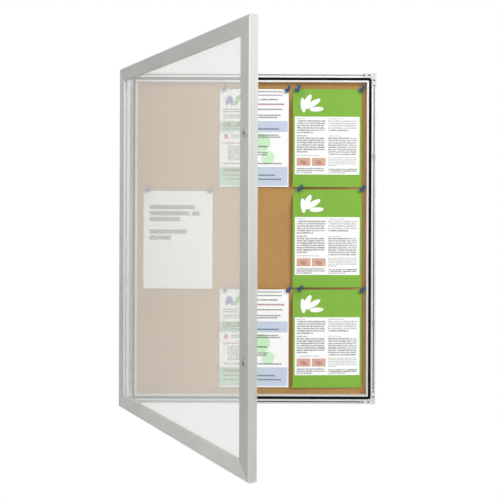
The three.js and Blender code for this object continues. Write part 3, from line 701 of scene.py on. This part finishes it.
class Print:
    """Builds up the colour of one kind of sheet, layer by layer."""

    groups = {"lines": lines_group(), "area": area_group(), "oval": oval_group()}

    def __init__(self, name, paper, roughness):
        self.material, self.nodes, self.shader = new_material(
            name, paper, roughness, Specular_IOR_Level=PAPER_GLOSS_LEVEL)
        self.u, _, height = self.nodes.parts(self.nodes.coordinates("Generated"))
        self.v = self.nodes.math("SUBTRACT", 1.0, height)
        mottle = self.nodes.noise(self.nodes.coordinates(), PAPER_MOTTLES, detail=3.0)
        self.colour = self.nodes.tones(mottle, paper, PAPER_TONE_SHARES)

    def layer(self, kind, colour, strength, **values):
        inputs = {"u": self.u, "v": self.v, **values}
        group = self.nodes.add("ShaderNodeGroup", inputs, node_tree=self.groups[kind])
        factor = self.nodes.times(group.outputs[0], strength)
        self.colour = self.nodes.mix(factor, self.colour, colour)

    def lines(self, colour, strength, box, rows, rate, weight, seed, gaps, ragged=0.0, letters=0):
        """Lines of text. Rate sets how fine the strokes are, weight how much of a row's height they fill,
        and gaps how many words are left blank."""
        left, top, right, bottom = box
        self.layer("lines", colour, strength, left=left, top=top, right=right, bottom=bottom, rows=rows,
                   rate=rate, weight=weight, seed=seed, gaps=gaps, ragged=ragged, letters=letters)

    def area(self, colour, strength, box):
        left, top, right, bottom = box
        self.layer("area", colour, strength, left=left, top=top, right=right, bottom=bottom)

    def oval(self, colour, strength, middle, radii, degrees):
        angle = math.radians(degrees)
        self.layer("oval", colour, strength, middle_u=middle[0], middle_v=middle[1],
                   long=radii[0], short=radii[1], cosine=math.cos(angle), sine=math.sin(angle))

    def done(self, depth):
        fibres = self.nodes.noise(self.nodes.coordinates(), PAPER_FIBRES, detail=3.0)
        self.nodes.fill(self.shader, Base_Color=self.colour, Normal=self.nodes.bump(fibres, depth))
        return self.material


def notice_print():
    """A plain typed notice: three lines, then two."""
    sheet = Print("notice_print", PAPER_WHITE, PLAIN_PAPER_ROUGHNESS)
    for top, right in NOTICE_LINE_SHARES:
        box = (NOTICE_LEFT_SHARE, top, right, top + NOTICE_LINE_HEIGHT_SHARE)
        sheet.lines(INK, box=box, seed=top * NOTICE_SEEDS, **NOTICE_TEXT)
    return sheet.done(NOTICE_FIBRE_DEPTH)


def leaflet_print():
    """A white leaflet with tinted bands, two pale discs, plain leaves and lines in several inks."""
    sheet = Print("leaflet_print", PAPER_WHITE, COATED_PAPER_ROUGHNESS)
    nodes = sheet.nodes
    tint = nodes.mix(nodes.remap(sheet.u, GREEN_TO_BLUE_SHARES), BAND_GREEN, BAND_BLUE)
    tint = nodes.mix(nodes.remap(sheet.u, BLUE_TO_LILAC_SHARES), tint, BAND_LILAC)
    for top, bottom in BAND_SHARES:
        sheet.area(tint, 1.0, (0.0, top, BAND_RIGHT_SHARE, bottom))
    for colour, strength, middle, radii, degrees in LEAFLET_OVAL_SHARES:
        sheet.oval(colour, strength, middle, radii, degrees)
    for left, top, right, bottom, rows, ink, letters, weight in LEAFLET_LINE_SHARES:
        sheet.lines(ink, box=(left, top, right, bottom), rows=rows, weight=weight,
                    seed=top * LEAFLET_SEEDS, letters=letters, **LEAFLET_TEXT)
    left, right = LEAFLET_HEADING_SIDE_SHARES
    for top, bottom in LEAFLET_HEADING_SHARES:
        sheet.lines(OLIVE_INK, box=(left, top, right, bottom), seed=top * HEADING_SEEDS, **HEADING_TEXT)
    return sheet.done(LEAFLET_FIBRE_DEPTH)


def poster_print():
    """A green poster: a white panel with two columns of text and two small pictures, and plain leaves."""
    sheet = Print("poster_print", POSTER_GREEN, COATED_PAPER_ROUGHNESS)
    for middle, radii, degrees in POSTER_LEAF_SHARES:
        sheet.oval(PAPER_WHITE, 1.0, middle, radii, degrees)
    sheet.area(PAPER_WHITE, 1.0, PANEL_SHARES)
    for (start, end), top, bottom, rows, strength, width, seed in POSTER_LINE_SHARES:
        box = (start, top, start + (end - start) * width, bottom)
        sheet.lines(GREY_INK, strength, box, rows, seed=seed, **POSTER_TEXT)
    inwards, middle_v = PICTURE_OVAL_SHARES
    for left, right in PICTURE_SIDE_SHARES:
        box = (left, PICTURE_TOP_SHARE, right, PICTURE_BOTTOM_SHARE)
        sheet.area(PICTURE_COLOUR, PICTURE_STRENGTH, box)
        sheet.oval(PICTURE_OVAL_COLOUR, PICTURE_OVAL_STRENGTH, (left + inwards, middle_v),
                   PICTURE_OVAL_RADII_SHARES, PICTURE_OVAL_TURN)
    return sheet.done(POSTER_FIBRE_DEPTH)


# Meshes
def new_piece(name, points, faces, material, body):
    mesh = bpy.data.meshes.new(name)
    mesh.from_pydata([tuple(point) for point in points], [], faces)
    mesh.materials.append(material)
    mesh.validate()
    mesh.update()
    piece = bpy.data.objects.new(name, mesh)
    bpy.context.scene.collection.objects.link(piece)
    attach(piece, body)
    return piece


def smooth(piece, degrees):
    """Smooth shading that stays sharp over edges of more than so many degrees."""
    mesh = piece.data
    mesh.polygons.foreach_set("use_smooth", [True] * len(mesh.polygons))
    mesh.set_sharp_from_angle(angle=math.radians(degrees))
    mesh.update()


def ring_faces(rings, around):
    """Quads between rings of equal counts that follow each other, wound outwards for a climbing axis."""
    faces = []
    for ring in range(rings - 1):
        for i in range(around):
            j = (i + 1) % around
            near, far = ring * around, (ring + 1) * around
            faces.append((near + i, near + j, far + j, far + i))
    return faces


def turned(outline, segments):
    """Points and faces of a piece turned about +Z; the outline's first and last points lie on the axis."""
    points = [Vector((0, 0, outline[0][1]))]
    for radius, height in outline[1:-1]:
        for i in range(segments):
            angle = 2 * math.pi * i / segments
            points.append(Vector((radius * math.cos(angle), radius * math.sin(angle), height)))
    points.append(Vector((0, 0, outline[-1][1])))
    inner = len(outline) - 2
    faces = [tuple(1 + i for i in face) for face in ring_faces(inner, segments)]
    last = len(points) - 1
    top = 1 + (inner - 1) * segments
    for i in range(segments):
        j = (i + 1) % segments
        faces.append((0, 1 + j, 1 + i))
        faces.append((last, top + i, top + j))
    return points, faces


def box_middle(points):
    low = Vector(min(point[axis] for point in points) for axis in range(3))
    high = Vector(max(point[axis] for point in points) for axis in range(3))
    return (low + high) / 2


# Sheets of paper
def from_pins(across, down):
    """Nought at the two pins in a sheet's upper corners, and one away from them."""
    aside = min(across, 1 - across) / A4_RATIO
    part = (math.hypot(aside, down) - PINNED_REACH_SHARE) / RISING_REACH_SHARE
    part = min(1.0, max(0.0, part))
    return part * part * (3 - 2 * part)


def sheet_lift(node, across, down):
    """How far a sheet stands off at a place that is given as shares of its width and height."""
    left_curl, right_curl, bow = (value * MM for value in SHEET_CURLS[node])
    corner = left_curl * (1 - across) + right_curl * across
    free = down ** SLACK_POWER if node == SLACK_SHEET else from_pins(across, down)
    return corner * free + bow * math.sin(math.pi * across) * math.sin(math.pi * down * BOW_DOWN_SHARE)


def sheet_piece(node, material):
    """A sheet held at its top, that stands a little off the cork lower down."""
    low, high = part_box(node)
    points = []
    for offset in (SHEET_REST + SHEET_THICKNESS, SHEET_REST):
        for row in range(SHEET_ROWS + 1):
            for column in range(SHEET_COLUMNS + 1):
                across, down = column / SHEET_COLUMNS, row / SHEET_ROWS
                x = low.x + across * (high.x - low.x)
                z = high.z - down * (high.z - low.z)
                points.append((x, high.y - offset - sheet_lift(node, across, down), z))
    wide = SHEET_COLUMNS + 1
    count = wide * (SHEET_ROWS + 1)
    faces = []
    for row in range(SHEET_ROWS):
        for column in range(SHEET_COLUMNS):
            corner = row * wide + column
            face = (corner, corner + wide, corner + wide + 1, corner + 1)
            faces.append(face)
            faces.append(tuple(count + i for i in reversed(face)))
    last_row = SHEET_ROWS * wide
    rim = list(range(wide))
    rim += [row * wide + SHEET_COLUMNS for row in range(1, SHEET_ROWS + 1)]
    rim += [last_row + column for column in range(SHEET_COLUMNS - 1, -1, -1)]
    rim += [row * wide for row in range(SHEET_ROWS - 1, 0, -1)]
    for i, here in enumerate(rim):
        after = rim[(i + 1) % len(rim)]
        faces.append((here, after, count + after, count + here))
    piece = new_piece(node.replace("_sheet", "_paper"), points, faces, material, "board")
    smooth(piece, SHEET_SHARP_ANGLE)
    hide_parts(node)


# Push pins
def pin_piece(node, plastic, steel):
    """The moulded pin with its needle, leaning as the solid leans."""
    lean = Vector((0, 0, 1)).rotation_difference(PIN_AXIS).to_matrix()
    body_points, body_faces = turned(PIN_OUTLINE, PIN_SEGMENTS)
    needle_points, needle_faces = turned(NEEDLE_OUTLINE, PIN_SEGMENTS // 2)
    leaned = [lean @ (point * MM) for point in body_points]
    low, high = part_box(node)
    front_of_body = min(point.y for point in leaned)
    middle = box_middle(leaned)
    shift = Vector(((low.x + high.x) / 2 - middle.x, low.y - front_of_body, high.z))
    shift.z -= max(point.z for point in leaned)
    points = [point + shift for point in leaned]
    points += [lean @ (point * MM) + shift for point in needle_points]
    faces = body_faces + [tuple(len(body_points) + i for i in face) for face in needle_faces]
    piece = new_piece(node.replace("push_pin_", "pin_"), points, faces, plastic, "board")
    piece.data.materials.append(steel)
    for polygon in piece.data.polygons[len(body_faces):]:
        polygon.material_index = 1
    smooth(piece, PIN_SHARP_ANGLE)
    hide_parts(node)


# Screws and plugs
def recess_reach(angle):
    """Distance from the middle to the edge of a cross-shaped recess in that direction."""
    off_arm = abs((angle + math.pi / 4) % (math.pi / 2) - math.pi / 4)
    return min(RECESS_REACH, RECESS_WIDTH / max(math.sin(off_arm), 1e-6))


def screw_mesh():
    """A low domed head with a cross recess, its seat at Z = 0 and its middle on the axis."""
    shoulder_radius_share, shoulder_height_share = SCREW_SHOULDER_SHARES
    rings = [
        (lambda angle: SCREW_RADIUS, 0),
        (lambda angle: SCREW_RADIUS, SCREW_HEIGHT * SCREW_RIM_SHARE),
        (lambda angle: SCREW_RADIUS * shoulder_radius_share, SCREW_HEIGHT * shoulder_height_share),
        (lambda angle: RECESS_REACH * RECESS_BORDER_SHARE, SCREW_HEIGHT),
        (recess_reach, SCREW_HEIGHT * RECESS_EDGE_SHARE),
        (lambda angle: recess_reach(angle) * RECESS_FLOOR_SHARE, SCREW_HEIGHT - RECESS_DEPTH),
    ]
    points = []
    for reach, height in rings:
        for i in range(SCREW_POINTS):
            angle = 2 * math.pi * i / SCREW_POINTS
            radius = reach(angle)
            points.append(Vector((radius * math.cos(angle), radius * math.sin(angle), height)))
    faces = ring_faces(len(rings), SCREW_POINTS)
    top = (len(rings) - 1) * SCREW_POINTS
    faces.append(tuple(range(SCREW_POINTS - 1, -1, -1)))
    faces.append(tuple(range(top, top + SCREW_POINTS)))
    return points, faces


def leaf_screws(steel):
    """A row of screws through each hinge leaf, in places that both leaves share when shut."""
    points, faces = screw_mesh()
    low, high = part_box("hinge_case_leaf")
    middle_x = (HINGE_PLACE.x + LEAF_FLAT_START * MM + high.x) / 2
    case_face = high.y - LEAF_THICKNESS * MM
    door_face = 2 * HINGE_PLACE.y - case_face
    margin = (high.z - low.z) * LEAF_END_SHARE
    first, last = low.z + margin, high.z - margin
    for i in range(LEAF_SCREWS):
        height = first + (last - first) * i / (LEAF_SCREWS - 1)
        turn = Matrix.Rotation(SCREW_TURN * i, 4, "Z")
        on_case = Matrix.Translation((middle_x, case_face, height)) @ FORWARDS @ turn
        on_door = DOOR_OPENED @ Matrix.Translation((middle_x, door_face, height)) @ BACKWARDS @ turn
        for label, place, body in (("case", on_case, "board"), ("door", on_door, "door")):
            placed = [place @ (point * MM) for point in points]
            piece = new_piece(f"{label}_leaf_screw_{i + 1}", placed, faces, steel, body)
            smooth(piece, SCREW_SHARP_ANGLE)


def hole_shade_plugs(rubber):
    """Four black plugs to a corner piece, painted shade for its dark holes, two along each arm, with their heads
    on its face.
    """
    points, faces = turned(SHADE_PLUG_OUTLINE, SHADE_PLUG_SEGMENTS)
    for node in [name for name in NODES if name.startswith("corner_piece_")]:
        low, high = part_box(node)
        side_x, side_z = math.copysign(1, low.x + high.x), math.copysign(1, low.z + high.z)
        corner_x = max(side_x * low.x, side_x * high.x)
        corner_z = max(side_z * low.z, side_z * high.z)
        places = []
        for share in CORNER_HOLE_SHARES:
            places += [(share * CORNER_ARM, GROOVE_CENTRE), (GROOVE_CENTRE, share * CORNER_ARM)]
        for i, (inwards_x, inwards_z) in enumerate(places):
            x, z = side_x * (corner_x - inwards_x * MM), side_z * (corner_z - inwards_z * MM)
            place = Matrix.Translation((x, low.y, z)) @ FORWARDS
            placed = [place @ (point * MM) for point in points]
            label = f"{node.replace('corner_piece', 'corner_plug')}_{i + 1}"
            piece = new_piece(label, placed, faces, rubber, "board")
            smooth(piece, SHADE_PLUG_SHARP_ANGLE)


# Carried-over nodes
def soften(thing, radius, degrees):
    """Small edge radii on a solid; its own mesh stays as it is."""
    thing.data.polygons.foreach_set("use_smooth", [True] * len(thing.data.polygons))
    weld = thing.modifiers.new("weld", "WELD")
    weld.merge_threshold = WELD_REACH
    bevel = thing.modifiers.new("edges", "BEVEL")
    bevel.width = radius * MM
    bevel.segments = EDGE_SEGMENTS
    bevel.limit_method = "ANGLE"
    bevel.angle_limit = math.radians(degrees)
    bevel.use_clamp_overlap = True
    normals = thing.modifiers.new("normals", "WEIGHTED_NORMAL")
    normals.keep_sharp = False


def dress_nodes(finishes):
    """Gives each node its own finish, or else its slot's."""
    for node, thing in NODES.items():
        slot = SLOT_OF[node]
        thing.data.materials.clear()
        thing.data.materials.append(finishes[node] if node in finishes else finishes[slot])
        if slot in EDGES:
            soften(thing, *EDGES[slot])


def section(name, colour, stretch, turn=0.0, groove_painted_shade_share=None):
    """The satin anodised metal of one section of the case or the door."""
    return brushed_metal(name, colour, SATIN_ROUGHNESS, stretch, turn, ANODISED_METAL_SHARE, groove_painted_shade_share)


def make_finishes():
    """Finishes by slot, and by node where one has its own. The lines on the door turn with the door."""
    case_upright = section("case_section_upright", CASE_ALLOY, ALONG_Z, groove_painted_shade_share=SIDE_GROOVE_PAINTED_SHADE)
    plug_with_painted_keyway_shade = satin_plate("lock_plug", keyway=True)
    return {
        **{slot: moulded(slot, **look) for slot, look in MOULDED_LOOKS.items()},
        "frame_aluminium": section("section_upright", DOOR_ALLOY, ALONG_Z),
        "key_metal": cast_metal("cast_metal"),
        "cork": cork("cork"),
        "back_sheet": brushed_metal("mill_sheet", BACK_ALLOY, MILL_ROUGHNESS, ALONG_Z),
        "hinge_steel": brushed_metal("hinge_steel", STEEL, STEEL_ROUGHNESS, ALONG_Z),
        "lock_chrome": satin_plate("satin_plate"),
        "lock_plug_upper": plug_with_painted_keyway_shade,
        "lock_plug_lower": plug_with_painted_keyway_shade,
        "paper": notice_print(),
        "leaflet": leaflet_print(),
        "poster_paper": poster_print(),
        "glass": pane_glass("pane_glass"),
        "case_top": section("case_section_top", CASE_ALLOY, ALONG_X, groove_painted_shade_share=TOP_GROOVE_PAINTED_SHADE),
        "case_bottom": section(
            "case_section_bottom", CASE_ALLOY, ALONG_X, groove_painted_shade_share=BOTTOM_GROOVE_PAINTED_SHADE),
        "case_left": case_upright,
        "case_right": case_upright,
        "door_top": section("door_section_top", DOOR_ALLOY, ALONG_X, -OPEN_ANGLE),
        # Painted light: lighter copies of the door's alloy on the bottom rail and the hinge stile
        "door_bottom": section("door_section_bottom", BOTTOM_RAIL_PAINTED_LIGHT, ALONG_X, -OPEN_ANGLE),
        "door_hinge_stile": section("door_section_hinge", HINGE_STILE_PAINTED_LIGHT, ALONG_Z, -OPEN_ANGLE),
        "door_lock_stile": section("door_section_lock", DOOR_ALLOY, ALONG_Z, -OPEN_ANGLE),
    }


# Stage
def make_camera():
    data = bpy.data.cameras.new("camera")
    data.sensor_width = SENSOR_WIDTH
    data.lens = FOCAL_PIXELS * SENSOR_WIDTH / IMAGE_PIXELS
    data.shift_y = (HORIZON_PIXEL - IMAGE_PIXELS / 2) / IMAGE_PIXELS
    data.clip_start = NEAREST_SEEN
    camera = bpy.data.objects.new("camera", data)
    camera.location = CAMERA_PLACE
    camera.rotation_euler = (math.pi / 2, CAMERA_ROLL, 0)
    bpy.context.scene.collection.objects.link(camera)
    bpy.context.scene.camera = camera


def make_lamp(name, place, size, power, aim=BOARD_MIDDLE, mirrored=True):
    data = bpy.data.lights.new(name, "AREA")
    data.shape = "RECTANGLE"
    data.size, data.size_y = size
    data.energy = power
    lamp = bpy.data.objects.new(name, data)
    lamp.location = place
    lamp.rotation_euler = (Vector(aim) - Vector(place)).to_track_quat("-Z", "Y").to_euler()
    lamp.visible_camera = False
    lamp.visible_glossy = mirrored
    bpy.context.scene.collection.objects.link(lamp)


def seen_white(nodes, path):
    """One for rays from the camera and for those through glass, to which the backdrop is white."""
    return nodes.math("MAXIMUM", path["Is Camera Ray"], path["Is Transmission Ray"])


def make_world():
    """White to the eye and through glass. Metal mirrors it dimmer towards the wall's side."""
    world = bpy.data.worlds.new("world")
    world.use_nodes = True
    bpy.context.scene.world = world
    nodes = Nodes(world.node_tree)
    path = nodes.add("ShaderNodeLightPath").outputs
    towards_wall = nodes.parts(nodes.coordinates("Generated"))[1]
    mirrored = nodes.remap(towards_wall, MIRROR_RANGE, (MIRROR_FRONT_LEVEL, MIRROR_BACK_LEVEL))
    level = nodes.blend(path["Is Glossy Ray"], SKY_LEVEL, mirrored)
    nodes.fill(world.node_tree.nodes["Background"],
               Color=(1, 1, 1), Strength=nodes.blend(seen_white(nodes, path), level, 1.0))


def floor_material():
    """Matt and shaded near the board, glowing white to the eye further off, and grey in the metal."""
    material = bpy.data.materials.new("floor")
    material.use_nodes = True
    tree = material.node_tree
    nodes = Nodes(tree)
    tree.nodes.remove(tree.nodes["Principled BSDF"])
    path = nodes.add("ShaderNodeLightPath").outputs
    colour = nodes.mix(path["Is Glossy Ray"], FLOOR_COLOUR, FLOOR_MIRRORED_COLOUR)
    matt = nodes.add("ShaderNodeBsdfDiffuse", {"Color": colour}).outputs[0]
    glow = nodes.add("ShaderNodeEmission", {"Color": (1, 1, 1), "Strength": 1.0}).outputs[0]
    flat = nodes.add("ShaderNodeVectorMath", {0: nodes.coordinates(), 1: (1, 1, 0)}, operation="MULTIPLY")
    radius = nodes.vector_math("LENGTH", flat.outputs[0])["Value"]
    share = nodes.remap(radius, (SHADED_RADIUS, WHITE_RADIUS), (FLOOR_GLOW_SHARE, 1.0))
    glowing = nodes.times(share, seen_white(nodes, path))
    mixed = nodes.add("ShaderNodeMixShader", {0: glowing, 1: matt, 2: glow})
    nodes.fill(tree.nodes["Material Output"], Surface=mixed.outputs[0])
    return material


def make_floor():
    half = FLOOR_SIZE / 2
    mesh = bpy.data.meshes.new("floor")
    corners = [(-half, -half), (half, -half), (half, half), (-half, half)]
    mesh.from_pydata([(x, y, FLOOR_LEVEL) for x, y in corners], [], [(0, 1, 2, 3)])
    mesh.materials.append(floor_material())
    floor = bpy.data.objects.new("floor", mesh)
    bpy.context.scene.collection.objects.link(floor)


def make_stage():
    bpy.context.scene.view_settings.view_transform = "Standard"
    make_world()
    make_floor()
    for name, lamp in LAMPS.items():
        make_lamp(name, **lamp)


make_camera()
finishes = make_finishes()
dress_nodes(finishes)
for node in SHEET_CURLS:
    kind = "leaflet" if node.startswith("leaflet") else SLOT_OF[node]
    sheet_piece(node, finishes[kind])
for node in [name for name in NODES if name.startswith("push_pin_")]:
    pin_piece(node, finishes["pin_plastic"], finishes["hinge_steel"])
leaf_screws(finishes["hinge_steel"])
# Black plugs, painted shade for the holes of the corner pieces
hole_shade_plugs(finishes["seal_rubber"])
make_stage()
